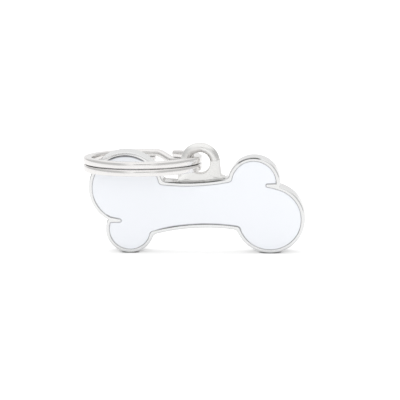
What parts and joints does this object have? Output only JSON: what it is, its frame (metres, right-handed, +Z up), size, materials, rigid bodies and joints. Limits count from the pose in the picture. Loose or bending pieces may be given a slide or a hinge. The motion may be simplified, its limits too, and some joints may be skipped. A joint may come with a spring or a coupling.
{
  "type": "pet id tag",
  "caption": "Bone-shaped metal pet tag with a blank white enamel face, a soldered hanging loop and a two-turn split ring that swings in the loop.",
  "frame": {"origin": "under the middle of the whole tag with its ring, on the surface that the tag stands on", "axes": "+X along the bone, from the ring's end towards the plain end; +Y out of the bare back of the plate, so the enamel looks towards -Y; +Z up"},
  "size_m": [0.0379, 0.0204, 0.0191],
  "materials": {
    "plate_metal": "polished nickel plating, slightly warm",
    "enamel_white": "glossy white enamel, blank",
    "loop_metal": "polished nickel plating",
    "solder_metal": "plated solder seam, a little duller",
    "ring_metal": "plated spring steel, polished"
  },
  "bodies": {
    "tag": {"tag_body": "plate_metal", "enamel": "enamel_white", "loop": "loop_metal", "solder": "solder_metal"},
    "ring": {"split_ring": "ring_metal"}
  },
  "joints": [
    {"name": "ring_swing", "type": "hinge", "parent": "tag", "child": "ring", "pos_m": [0.00109, 0, 0.01562], "axis": [0, 1, 0], "range_deg": [0, 197]}
  ]
}
